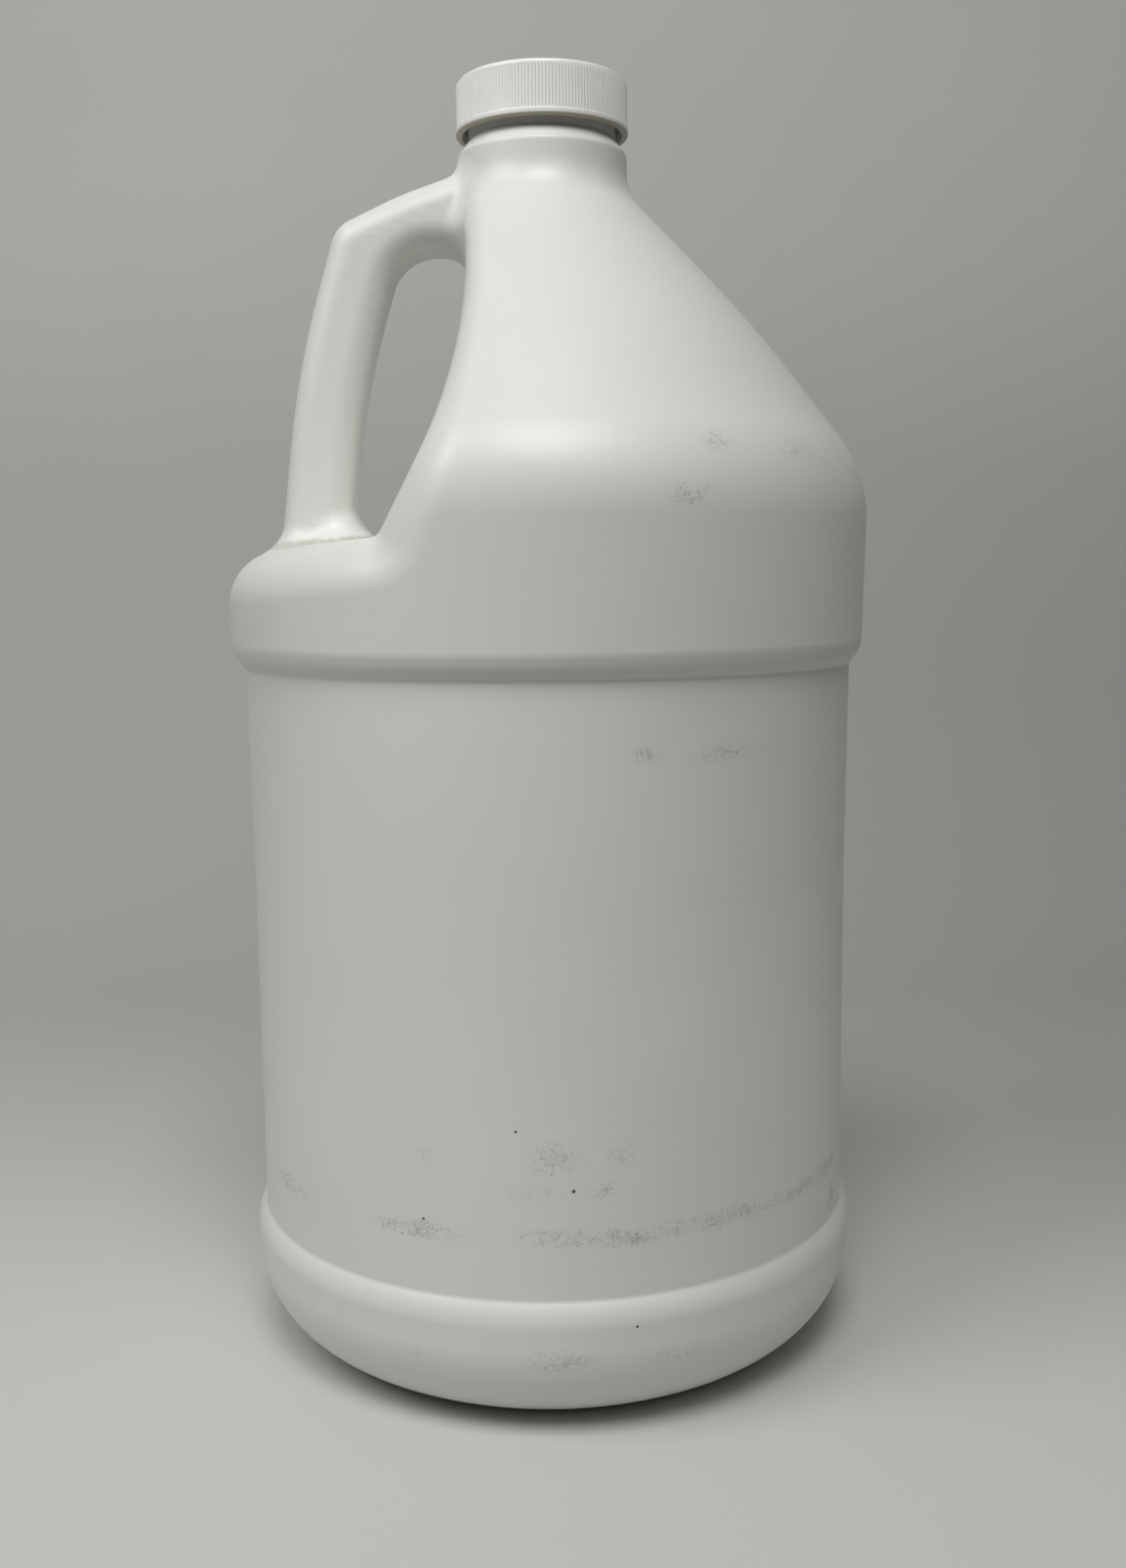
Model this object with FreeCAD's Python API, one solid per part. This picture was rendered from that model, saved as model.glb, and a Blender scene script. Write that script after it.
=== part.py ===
"""A one-gallon round jug with a moulded-in handle, and its ribbed screw cap with a liner.

Millimetres. The origin is the middle of the foot on the ground, +Z runs up the body's axis, and
the handle lies in the XZ plane on the -X side. The two mould halves part along that plane, so
the recess behind the handle is a straight cut along Y.
"""
import FreeCAD, Part
import math
import os

Vector = FreeCAD.Vector

# ---- the blown body ----
wall = 1.2                  # wall of the blown shell
foot_radius = 51.8          # where the flat foot turns up into the bottom corner
foot_width = 5.0            # flat ring that the jug stands on
push_up = 5.0               # how far the middle of the base is raised
push_up_slope = 7.0         # width of the slope between foot and raised middle
push_up_rounding = 8.0
foot_rounding = 1.5
base_ring_radius = 75.1     # at its top
base_ring_taper = 0.7       # how much narrower the ring would be at the ground
base_ring_top = 32.7        # crease where the base ring meets the label panel
base_ring_bevel = 2.7       # height of the slope above the base ring
base_ring_rounding = 8.0
panel_radius = 72.9
panel_flare = 0.6           # how much wider the panel is at its top
panel_flare_start = 118.0
panel_flare_rounding = 900.0
panel_top = 164.4           # crease where the panel meets the belt
crease_rounding = 0.7
belt_bottom_radius = 76.4
belt_bevel = 5.1            # height of the slope under the belt
belt_rounding = 4.0
belt_top_radius = 77.4
belt_top = 209.7            # where belt and shoulder would meet in a sharp edge
belt_top_rounding = 13.0
shoulder_bulge = 1.8        # how far the shoulder's line stands out from a straight cone
shoulder_curved = 0.84      # share of the shoulder's length that the bulge's arc takes

# ---- the neck and its finish ----
neck_radius = 20.1
neck_start = 274.4          # where shoulder and neck would meet in a sharp corner
neck_height = 10.1          # plain neck below the sloping shelf
neck_wall = 2.0
neck_rounding = 2.0
shelf_height = 3.2
shelf_rounding = 1.2
finish_radius = 17.4        # outside of the threaded tube, at the root of its thread
finish_height = 11.3        # from the shelf to the rim
rim_rounding = 0.5

# ---- the thread, six turns to the inch ----
thread_pitch = 25.4 / 6
thread_depth = 1.2
thread_root = 2.4           # width of the ridge where it stands on its wall
thread_crest = 0.9
thread_turns = 1.25
ridge_sunk = 0.6            # how far each ridge reaches into its wall
thread_drop = 2.2           # from the rim down to the middle of the ridge's upper end
thread_gap = 0.25           # radial clearance between jug and cap
flank_gap = 0.3             # clearance along Z on the flanks that pull the cap down

# ---- the recess behind the handle ----
ledge_height = 193.8        # floor of the recess, where the handle's foot stands
ledge_inner_x = -35.0       # where floor and inner wall meet
recess_bend_x = -9.1        # where the leaning and the steep part of the wall would meet
recess_bend_height = 233.6
recess_bend_radius = 88.0
recess_top_x = -20.9        # at the recess's roof, just outside the neck
recess_roof = 2.0           # above the start of the neck
recess_corner_radius = 5.0
recess_rim_rounding = 9.0

# ---- the handle ----
handle_width = 21.0         # across Y
handle_rounding = 6.0
elbow_x = -49.4             # outside corner between arm and grip
elbow_height = 268.4
elbow_radius = 8.0
grip_bend_x = -60.0         # the grip's line curves gently about this point
grip_bend_height = 234.4
grip_bend_radius = 225.0
grip_foot_x = -63.9
grip_depth = 16.0           # through the grip, square to it, in the XZ plane
arm_bend_x = -34.0
arm_bend_height = 275.8
arm_bend_radius = 80.0
arm_root_x = -12.0          # inside the neck
arm_root_height = 283.2
arm_underside = 263.1
finger_corner_radius = 11.0
foot_flare = 4.5
root_flare = 2.5
foot_sunk = 4.0             # how far the handle's foot is let into the ledge

# ---- the cap ----
cap_height = 12.2
cap_top_thickness = 1.3
cap_radius = 20.25          # over the ribs
rib_count = 164
rib_depth = 0.3
rib_sunk = 0.15             # how far the ribs reach into the cap's core
rib_start = 1.5             # plain band under the ribs
band_proud = 0.2            # how far the band stands out past the ribs
rib_end = 1.1               # plain rounded edge above the ribs
cap_edge_rounding = 0.9
cap_thread_lift = 0.25      # turns between the start of the jug's ridge and the cap's

# ---- the liner ----
liner_thickness = 1.0
liner_gap = 0.1             # above and below the liner
liner_side_gap = 0.25

# ---- heights that follow ----
shelf_start = neck_start + neck_height
shelf_top = shelf_start + shelf_height
rim_height = shelf_top + finish_height
bore_radius = finish_radius - neck_wall
liner_bottom = rim_height + liner_gap
cap_ceiling = liner_bottom + liner_thickness + liner_gap
cap_top = cap_ceiling + cap_top_thickness
cap_bottom = cap_top - cap_height
cap_bore_radius = finish_radius + thread_depth + thread_gap
thread_rise = thread_turns * thread_pitch
thread_start = rim_height - thread_drop - thread_rise
flank_slope = (thread_root - thread_crest) / 2 / thread_depth
flank_reach = thread_root - flank_slope * (thread_depth + thread_gap)
cap_thread_start = thread_start - flank_reach - flank_gap + thread_pitch * cap_thread_lift
clear_of_body = 1.5 * belt_top_radius
clear_of_rim = rim_height + neck_wall
same_place = 1e-3           # points nearer than this count as one


def shifted(corners, depth, closed):
    """Move each run of a counter-clockwise outline inwards; a corner is (x, z, rounding)."""
    count = len(corners)
    runs = count if closed else count - 1
    normals = []
    for index in range(runs):
        x, z, _ = corners[index]
        next_x, next_z, _ = corners[(index + 1) % count]
        length = math.hypot(next_x - x, next_z - z)
        normals.append(((z - next_z) / length, (next_x - x) / length))
    moved = []
    for index, (x, z, rounding) in enumerate(corners):
        before = normals[index - 1] if closed or index > 0 else normals[0]
        after = normals[index] if index < runs else normals[-1]
        share = depth / (1 + before[0] * after[0] + before[1] * after[1])
        turn = before[0] * after[1] - before[1] * after[0]
        if rounding:
            rounding = max(rounding - math.copysign(depth, turn), 0)
        moved.append((x + share * (before[0] + after[0]), z + share * (before[1] + after[1]), rounding))
    return moved


def meeting(first, second, third, fourth):
    """Where the line from first to second meets the line from third to fourth, as (x, z)."""
    run_x, run_z = second[0] - first[0], second[1] - first[1]
    other_x, other_z = fourth[0] - third[0], fourth[1] - third[1]
    along = ((third[0] - first[0]) * other_z - (third[1] - first[1]) * other_x)
    along = along / (run_x * other_z - run_z * other_x)
    return first[0] + along * run_x, first[1] + along * run_z


def outline_face(corners):
    """A face in the XZ plane: straight runs between the corners and an arc in each rounded one."""
    points = [Vector(x, 0, z) for x, z, _ in corners]
    count = len(points)
    entries = []
    exits = []
    arcs = []
    for index, here in enumerate(points):
        back = (points[index - 1] - here).normalize()
        ahead = (points[(index + 1) % count] - here).normalize()
        rounding = corners[index][2]
        if not rounding:
            entries.append(here)
            exits.append(here)
            arcs.append(None)
            continue
        half_angle = back.getAngle(ahead) / 2
        reach = rounding / math.tan(half_angle)
        entries.append(here + back * reach)
        exits.append(here + ahead * reach)
        inward = (back + ahead).normalize()
        crown = here + inward * (rounding / math.sin(half_angle) - rounding)
        arcs.append(Part.Arc(entries[-1], crown, exits[-1]).toShape())
    edges = []
    for index in range(count):
        if arcs[index]:
            edges.append(arcs[index])
        following = entries[(index + 1) % count]
        if exits[index].distanceToPoint(following) > same_place:
            edges.append(Part.makeLine(exits[index], following))
    return Part.Face(Part.Wire(edges))


def turned(corners):
    """The solid that an outline of (radius, height, rounding) sweeps about the axis."""
    return outline_face(corners).revolve(Vector(0, 0, 0), Vector(0, 0, 1), 360)


def slab(corners, width):
    """An outline made width thick along Y, evenly about the XZ plane."""
    face = outline_face(corners)
    face.translate(Vector(0, -width / 2, 0))
    return face.extrude(Vector(0, width, 0))


def middle_of(edge):
    return edge.valueAt((edge.FirstParameter + edge.LastParameter) / 2)


def touches(shape, point):
    return shape.distToShape(Part.Vertex(point))[0] < same_place


def shared_edges(joined, first, second):
    """Edges of the joined solid that lie on the surfaces of both solids it was made from."""
    first_faces = Part.Compound(first.Faces)
    second_faces = Part.Compound(second.Faces)
    found = []
    for edge in joined.Edges:
        point = middle_of(edge)
        if touches(second_faces, point) and touches(first_faces, point):
            found.append(edge)
    return found


# ---- the jug ----

def body_corners():
    """Half outline of the body, from the middle of the base up to the start of the neck.

    The shoulder's two straight runs meet twice as far out as the arc between them reaches.
    """
    rise = neck_start - belt_top
    reach = belt_top_radius - neck_radius
    length = math.hypot(rise, reach)
    outward = 2 * shoulder_bulge / length
    bulge_radius = (belt_top_radius + neck_radius) / 2 + outward * rise
    bulge_height = (belt_top + neck_start) / 2 + outward * reach
    turn = 4 * math.atan(4 * shoulder_bulge / length)
    bulge_rounding = shoulder_curved * length / 2 / math.tan(turn / 2)
    return [
        (0, push_up, 0),
        (foot_radius - foot_width - push_up_slope, push_up, push_up_rounding),
        (foot_radius - foot_width, 0, foot_rounding),
        (base_ring_radius - base_ring_taper, 0, base_ring_radius - base_ring_taper - foot_radius),
        (base_ring_radius, base_ring_top - base_ring_bevel, base_ring_rounding),
        (panel_radius, base_ring_top, crease_rounding),
        (panel_radius, panel_flare_start, panel_flare_rounding),
        (panel_radius + panel_flare, panel_top, crease_rounding),
        (belt_bottom_radius, panel_top + belt_bevel, belt_rounding),
        (belt_top_radius, belt_top, belt_top_rounding),
        (bulge_radius, bulge_height, bulge_rounding),
        (neck_radius, neck_start, neck_rounding),
    ]


def outer_profile():
    return body_corners() + [
        (neck_radius, shelf_start, shelf_rounding),
        (finish_radius, shelf_top, 0),
        (finish_radius, rim_height, rim_rounding),
        (0, rim_height, 0),
    ]


def inner_profile():
    """The body's outline one wall further in, then the inside of the neck, up past the rim."""
    corners = shifted(body_corners(), wall, False)
    neck_inside = neck_radius - neck_wall
    neck_line = ((neck_inside, 0), (neck_inside, 1))
    corner = meeting(corners[-2], corners[-1], *neck_line)
    corners[-1] = (corner[0], corner[1], neck_rounding + wall)
    return corners + [
        (neck_inside, shelf_start, 0),
        (bore_radius, shelf_top, 0),
        (bore_radius, clear_of_rim, 0),
        (0, clear_of_rim, 0),
    ]


def recess_corners():
    roof = neck_start + recess_roof
    return [
        (-clear_of_body, ledge_height, 0),
        (ledge_inner_x, ledge_height, recess_corner_radius),
        (recess_bend_x, recess_bend_height, recess_bend_radius),
        (recess_top_x, roof, 0),
        (-clear_of_body, roof, 0),
    ]


def handle_corners():
    """The handle seen along Y: down its outside, up its inside, and back over the arm."""
    foot = ledge_height - foot_sunk
    outside = [
        (elbow_x, elbow_height, elbow_radius),
        (grip_bend_x, grip_bend_height, grip_bend_radius),
        (grip_foot_x, foot, 0),
    ]
    inside = shifted(outside, grip_depth, False)
    foot_corner = meeting(inside[1], inside[2], (0, foot), (1, foot))
    finger_corner = meeting(inside[0], inside[1], (0, arm_underside), (1, arm_underside))
    return outside + [
        (*foot_corner, 0),
        inside[1],
        (*finger_corner, finger_corner_radius),
        (arm_root_x, arm_underside, 0),
        (arm_root_x, arm_root_height, 0),
        (arm_bend_x, arm_bend_height, arm_bend_radius),
    ]


def handle_bar(depth):
    """The handle's bar with softly rounded long edges, its skin moved inwards by depth."""
    width = handle_width - 2 * depth
    bar = slab(shifted(handle_corners(), depth, True), width)
    ends = (arm_root_x - depth, ledge_height - foot_sunk + depth)
    long_edges = []
    for edge in bar.Edges:
        box = edge.BoundBox
        at_root = abs(box.XMax - ends[0]) < same_place and box.XLength < same_place
        at_foot = abs(box.ZMax - ends[1]) < same_place and box.ZLength < same_place
        if box.YLength < same_place and not at_root and not at_foot:
            long_edges.append(edge)
    return bar.makeFillet(handle_rounding - depth, long_edges)


def shell_solid(profile, depth):
    """Body, recess and handle as one full solid, its skin moved inwards by depth."""
    body = turned(profile)
    recess = slab(shifted(recess_corners(), -depth, True), 2 * clear_of_body)
    recessed = body.cut(recess)
    rim = shared_edges(recessed, body, recess)
    recessed = recessed.makeFillet(recess_rim_rounding - depth, rim)
    bar = handle_bar(depth)
    joined = recessed.fuse(bar)
    halfway = (ledge_height + arm_underside) / 2
    foot_edges = [edge for edge in shared_edges(joined, recessed, bar) if middle_of(edge).z < halfway]
    flared = joined.makeFillet(foot_flare + depth, foot_edges)
    return flared.makeFillet(root_flare + depth, shared_edges(flared, recessed, bar))


def ridge(wall_radius, outward, start):
    """One helical thread ridge on a round wall, standing outwards (1) or inwards (-1)."""
    sunk_radius = wall_radius - outward * ridge_sunk
    crest_radius = wall_radius + outward * thread_depth
    half_foot = thread_root / 2 + flank_slope * ridge_sunk
    half_crest = thread_crest / 2
    section = Part.makePolygon([
        Vector(sunk_radius, 0, -half_foot),
        Vector(crest_radius, 0, -half_crest),
        Vector(crest_radius, 0, half_crest),
        Vector(sunk_radius, 0, half_foot),
        Vector(sunk_radius, 0, -half_foot),
    ])
    path = Part.Wire(Part.makeHelix(thread_pitch, thread_rise, wall_radius))
    solid = path.makePipeShell([section], True, True)
    solid.translate(Vector(0, 0, start))
    return solid


def make_jug():
    outside = shell_solid(outer_profile(), 0)
    inside = shell_solid(inner_profile(), wall)
    return outside.fuse(ridge(finish_radius, 1, thread_start)).cut(inside)


# ---- the cap ----

def rib_ring(height):
    """A star-shaped prism whose points are the cap's ribs."""
    valley_radius = cap_radius - rib_depth
    points = []
    for index in range(2 * rib_count):
        angle = math.pi * index / rib_count
        radius = cap_radius if index % 2 == 0 else valley_radius
        points.append(Vector(radius * math.cos(angle), radius * math.sin(angle), 0))
    points.append(points[0])
    return Part.Face(Part.makePolygon(points)).extrude(Vector(0, 0, height))


def make_cap():
    core_radius = cap_radius - rib_depth - rib_sunk
    band_top = cap_bottom + rib_start
    core = turned([
        (0, cap_bottom, 0),
        (core_radius, cap_bottom, 0),
        (core_radius, cap_top, cap_edge_rounding),
        (0, cap_top, 0),
    ])
    band = turned([
        (0, cap_bottom, 0),
        (cap_radius + band_proud, cap_bottom, cap_edge_rounding),
        (cap_radius + band_proud, band_top, 0),
        (0, band_top, 0),
    ])
    ribs = rib_ring(cap_top - rib_end - band_top)
    ribs.translate(Vector(0, 0, band_top))
    outside = core.fuse([band, ribs])
    room = Part.makeCylinder(cap_bore_radius, cap_ceiling - cap_bottom, Vector(0, 0, cap_bottom))
    thread = ridge(cap_bore_radius, -1, cap_thread_start)
    thread.rotate(Vector(0, 0, 0), Vector(0, 0, 1), 360 * cap_thread_lift)
    return outside.cut(room).fuse(thread)


def make_liner():
    radius = cap_bore_radius - liner_side_gap
    return Part.makeCylinder(radius, liner_thickness, Vector(0, 0, liner_bottom))


def main():
    pieces = {"jug": make_jug(), "cap": make_cap(), "cap_liner": make_liner()}
    os.makedirs("parts", exist_ok=True)
    for name, shape in pieces.items():
        solid = shape.Solids[0]
        solid.exportStep("parts/" + name + ".step")
        print(name, round(solid.Volume / 1000, 2), "cm3", "valid", solid.isValid(), len(shape.Solids))


main()
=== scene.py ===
# %% [markdown]
# # A one-gallon jug in white plastic
#
# The jug is blow moulded: a hot tube of polyethylene is blown against a two-part mould, so body,
# handle and neck are one hollow skin with soft blends everywhere. Its screw cap is moulded apart,
# with fine ribs to grip, and holds a foam liner. This script dresses the three pieces of the CAD
# model, which arrive as a fixed frame, with finer meshes and with the materials of the real thing.

import math

import bpy
import numpy as np
from mathutils import Matrix, Vector


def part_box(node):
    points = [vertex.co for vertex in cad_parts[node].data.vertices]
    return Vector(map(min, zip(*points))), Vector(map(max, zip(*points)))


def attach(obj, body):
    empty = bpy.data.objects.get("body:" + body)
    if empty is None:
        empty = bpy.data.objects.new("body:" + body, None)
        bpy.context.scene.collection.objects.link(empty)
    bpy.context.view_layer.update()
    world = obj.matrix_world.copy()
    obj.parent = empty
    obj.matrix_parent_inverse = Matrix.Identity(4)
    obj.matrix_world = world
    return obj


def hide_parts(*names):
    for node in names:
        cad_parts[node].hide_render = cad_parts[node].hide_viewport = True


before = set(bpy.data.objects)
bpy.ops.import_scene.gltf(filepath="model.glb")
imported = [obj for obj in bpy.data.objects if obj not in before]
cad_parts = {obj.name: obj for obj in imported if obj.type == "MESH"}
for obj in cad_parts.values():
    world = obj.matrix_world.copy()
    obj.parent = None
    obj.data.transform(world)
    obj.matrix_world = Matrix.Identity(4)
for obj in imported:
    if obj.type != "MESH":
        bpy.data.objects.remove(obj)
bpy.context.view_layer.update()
MM = 0.001  # a millimetre in Blender's metres

# %% [markdown]
# ## The camera
#
# The camera stands a little under two fifths of a metre in front of the jug, at about three fifths
# of its height, and looks slightly down. It is made first, because everything after it is judged
# through it. The lens is a moderate 36 mm, which near an object gives a strong perspective: the
# cap and the foot both turn away from the eye.

# %% Place the camera
def placed(name, data):
    """A new object at the origin, in the scene, that shows a mesh, a camera or a lamp."""
    thing = bpy.data.objects.new(name, data)
    bpy.context.scene.collection.objects.link(thing)
    return thing


# millimetres
eye_distance = 386.85
eye_height = 185.55
lens_length = 35.72
sensor_side = 36.0
# degrees
tilt_down = 7.53
turn_right = 0.51
lean_left = 0.58

camera_data = bpy.data.cameras.new("camera")
camera_data.lens = lens_length
camera_data.sensor_width = sensor_side
camera = placed("camera", camera_data)
aim = (
    Matrix.Rotation(math.radians(-turn_right), 4, "Z")
    @ Matrix.Rotation(math.radians(90 - tilt_down), 4, "X")
    @ Matrix.Rotation(math.radians(-lean_left), 4, "Z")
)
camera.matrix_world = Matrix.Translation(Vector((0, -eye_distance, eye_height)) * MM) @ aim
bpy.context.scene.camera = camera
print("camera at", tuple(camera.location))

# %% [markdown]
# ## A drawing that knows its distances
#
# A modeller could cut the recess with a boolean and bevel the cut, but a bevel has one width and
# a blown jug's edges grow softer where the plastic had further to stretch. Here the shapes are
# distance fields instead. A distance field is a function that says how far a point lies from a
# surface, negative inside. Two fields are joined or cut with a rounding of any radius, and that
# radius may change from place to place.
#
# Everything starts from a flat outline: straight runs whose corners carry a rounding radius. The
# class below turns such a list of corners into lines and arcs, and measures distances to them.

# %% An outline of lines and arcs
FAR = 1e9
TINY = 1e-6


def unit(pair):
    return pair / np.hypot(*pair)


class Outline:
    """An open path of (x, z, rounding) corners in millimetres, with the solid on its left."""

    def __init__(self, corners):
        points = np.array([corner[:2] for corner in corners], float)
        entries = [points[0]]
        exits = [points[0]]
        self.runs = []
        for index in range(1, len(points) - 1):
            here = points[index]
            back = unit(points[index - 1] - here)
            ahead = unit(points[index + 1] - here)
            rounding = corners[index][2]
            half_angle = math.acos(np.clip(back @ ahead, -1, 1)) / 2
            reach = rounding / math.tan(half_angle)
            inward = unit(back + ahead)
            centre = here + inward * rounding / math.sin(half_angle)
            turn = 1 if back[0] * ahead[1] - back[1] * ahead[0] < 0 else -1
            entries.append(here + back * reach)
            exits.append(here + ahead * reach)
            self.runs.append(("line", exits[-2], entries[-1]))
            self.runs.append(("arc", centre, rounding, -inward, math.pi / 2 - half_angle, turn))
        self.runs.append(("line", exits[-1], points[-1]))

    def distance(self, x, z):
        """Signed distance of points to the path."""
        nearest = np.full(np.shape(x), FAR)
        signed = np.zeros(np.shape(x))
        for run in self.runs:
            if run[0] == "line":
                start, end = run[1:]
                along = unit(end - start)
                length = np.hypot(*(end - start))
                dx = x - start[0]
                dz = z - start[1]
                step = np.clip(dx * along[0] + dz * along[1], 0, length)
                away = np.hypot(dx - step * along[0], dz - step * along[1])
                side = along[1] * dx - along[0] * dz
                here = np.where(side > 0, away, -away)
            else:
                centre, radius, middle, half, turn = run[1:]
                dx = x - centre[0]
                dz = z - centre[1]
                out = np.hypot(dx, dz)
                within = dx * middle[0] + dz * middle[1] >= out * math.cos(half)
                here = (out - radius) * turn
                away = np.where(within, np.abs(here), FAR)
            closer = away < nearest
            nearest = np.where(closer, away, nearest)
            signed = np.where(closer, here, signed)
        return signed

    def sampled(self, run_step, tolerance=0.02):
        """Points along the path, close enough together to stay within a tolerance of its arcs."""
        points = [self.runs[0][1]]
        for run in self.runs:
            if run[0] == "line":
                start, end = run[1:]
                count = max(1, math.ceil(np.hypot(*(end - start)) / run_step))
                points += [start + (end - start) * k / count for k in range(1, count + 1)]
            else:
                centre, radius, middle, half, turn = run[1:]
                count = max(3, math.ceil(half / math.acos(1 - tolerance / radius)))
                for k in range(1, count + 1):
                    angle = turn * half * (2 * k / count - 1)
                    c, s = math.cos(angle), math.sin(angle)
                    out = np.array([middle[0] * c - middle[1] * s, middle[0] * s + middle[1] * c])
                    points.append(centre + radius * out)
        points = np.array(points)
        fresh = np.hypot(*np.diff(points, axis=0).T) > TINY
        return points[np.append(True, fresh)]


trial = Outline([(0, 0, 0), (10, 0, 3), (10, 10, 0)])
print("from (5, 5) to a rounded corner's sides:", float(trial.distance(5.0, 5.0)), "mm")


# %% [markdown]
# ## The jug's outline
#
# From the ground up: a narrow foot ring round a raised base, a base ring, a plain panel where a
# label would sit, a belt that stands proud of the panel so that the label isn't rubbed in a
# carton, a wide turn into a nearly straight shoulder, a short neck, a sloping shelf and the
# threaded finish. The same corners, moved in by the wall, give the inside. All sizes are in
# millimetres.

# %% Sizes of the blown body
wall = 1.2
foot_radius = 58.0
foot_width = 11.2
foot_rounding = 5.0
foot_inner_rounding = 1.5
base_slope_top = 9.75
base_rounding = 22.6
push_up = 5.0
push_up_slope = 7.0
push_up_rounding = 8.0
base_ring_radius = 75.1
base_ring_taper = 0.7
base_ring_top = 32.7
base_ring_bevel = 2.7
base_ring_rounding = 8.0
panel_radius = 72.9
panel_foot_rounding = 1.5
panel_flare = 0.6
panel_flare_start = 118.0
panel_flare_rounding = 900.0
panel_top = 165.0
panel_top_rounding = 0.7
belt_step_radius = 75.4
belt_step_height = 2.1
belt_step_rounding = 7.0
belt_bottom_radius = 76.4
belt_bevel = 5.1
belt_bevel_rounding = 6.0
belt_top_radius = 77.4
belt_top = 209.0
belt_top_rounding = 30.0
shoulder_bulge = 1.2
shoulder_curved = 0.76
neck_radius = 20.1
neck_start = 275.8
neck_rounding = 12.0
shelf_start = 284.5
shelf_start_rounding = 1.2
shelf_top = 288.1
shelf_top_rounding = 0.4
rim_height = 299.0
rim_rounding = 0.5
finish_radius = 17.4
neck_wall = 2.0
neck_inside = neck_radius - neck_wall
bore_radius = finish_radius - neck_wall
print("body", 2 * belt_top_radius, "mm across, rim at", rim_height, "mm")


# %% The outline's corners
def shoulder_corner():
    """Where the shoulder's two straight runs meet, and the rounding of the bulge between them."""
    rise = neck_start - belt_top
    reach = belt_top_radius - neck_radius
    length = math.hypot(rise, reach)
    outward = 2 * shoulder_bulge / length
    turn = 4 * math.atan(4 * shoulder_bulge / length)
    return (
        (belt_top_radius + neck_radius) / 2 + outward * rise,
        (belt_top + neck_start) / 2 + outward * reach,
        shoulder_curved * length / 2 / math.tan(turn / 2),
    )


body_corners = [
    (0, push_up, 0),
    (foot_radius - foot_width - push_up_slope, push_up, push_up_rounding),
    (foot_radius - foot_width, 0, foot_inner_rounding),
    (foot_radius, 0, foot_rounding),
    (base_ring_radius - base_ring_taper, base_slope_top, base_rounding),
    (base_ring_radius, base_ring_top - base_ring_bevel, base_ring_rounding),
    (panel_radius, base_ring_top, panel_foot_rounding),
    (panel_radius, panel_flare_start, panel_flare_rounding),
    (panel_radius + panel_flare, panel_top, panel_top_rounding),
    (belt_step_radius, panel_top + belt_step_height, belt_step_rounding),
    (belt_bottom_radius, panel_top + belt_bevel, belt_bevel_rounding),
    (belt_top_radius, belt_top, belt_top_rounding),
    shoulder_corner(),
    (neck_radius, neck_start, neck_rounding),
]
finish_corners = [
    (neck_radius, shelf_start, shelf_start_rounding),
    (finish_radius, shelf_top, shelf_top_rounding),
    (finish_radius, rim_height, rim_rounding),
    (0, rim_height, 0),
]
outer = Outline(body_corners + finish_corners)
print("outline runs:", len(outer.runs))


# %% The inside of the wall
least_rounding = 0.3
neck_inside_rounding = 3.2
bore_rounding = 1.0


def moved_in(corners, depth):
    """The corners of the path one wall further in; roundings grow or shrink to stay concentric."""
    points = np.array([corner[:2] for corner in corners], float)
    steps = np.diff(points, axis=0)
    steps /= np.hypot(*steps.T)[:, None]
    inward = np.column_stack([-steps[:, 1], steps[:, 0]])
    inward = np.vstack([inward[:1], inward, inward[-1:]])
    steps = np.vstack([steps[:1], steps, steps[-1:]])
    moved = []
    for index, (x, z, rounding) in enumerate(corners):
        before, after = inward[index], inward[index + 1]
        shift = depth * (before + after) / (1 + before @ after)
        turn = np.sign(steps[index][0] * steps[index + 1][1] - steps[index][1] * steps[index + 1][0])
        moved.append((x + shift[0], z + shift[1], max(rounding - turn * depth, least_rounding)))
    return moved


body_inside = moved_in(body_corners, wall)
lean = (body_inside[-1][0] - body_inside[-2][0]) / (body_inside[-1][1] - body_inside[-2][1])
neck_corner_height = body_inside[-1][1] + (neck_inside - body_inside[-1][0]) / lean
body_inside[-1] = (neck_inside, neck_corner_height, neck_inside_rounding)
inner = Outline(
    body_inside
    + [
        (neck_inside, shelf_start, bore_rounding),
        (bore_radius, shelf_top, bore_rounding),
        (bore_radius, rim_height + neck_wall, 0),
    ]
)
print("inside of the neck starts at", round(neck_corner_height, 1), "mm")

# %% [markdown]
# ## The recess and the handle
#
# Behind the handle the mould pushes the body in, in a straight cut along Y: a ledge for the
# handle's foot, which falls four degrees outwards, and a wall that leans in, bends and comes back
# out to the neck. The handle itself is a tube with a rounded oblong section, 21 mm wide, that
# leaves the neck as an arm, turns down at the elbow and stands on the ledge. Both are outlines in
# the XZ plane, with corners of (x, z, rounding) like those of the body.

# %% Sizes of the recess and the handle
ledge_inner_height = 194.6
ledge_slope = 0.075
ledge_inner_x = -35.4
ledge_rounding = 3.0
wall_bend = (-11.8, 235.4, 99)
recess_top = (-20.5, neck_start + 2, 0.5)
outside_x = -120
recess = Outline(
    [
        (outside_x, ledge_inner_height - ledge_slope * (ledge_inner_x - outside_x), 0),
        (ledge_inner_x, ledge_inner_height, ledge_rounding),
        wall_bend,
        recess_top,
        (outside_x, recess_top[1], 0),
    ]
)

handle_width = 21.0
handle_rounding = 6.0
grip_depth = 16.0
arm_underside = 262.8
arm_root = (-12.0, 282.7, 0)
arm_bend = (-34.0, 275.15, 80)
elbow = (-49.0, 268.2, 8)
grip_bend = (-59.2, 234.4, 225)
grip_foot = (-64.5, 189.8, 0)
finger_rounding = 11
handle_outside = Outline([arm_root, arm_bend, elbow, grip_bend, grip_foot])

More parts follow.
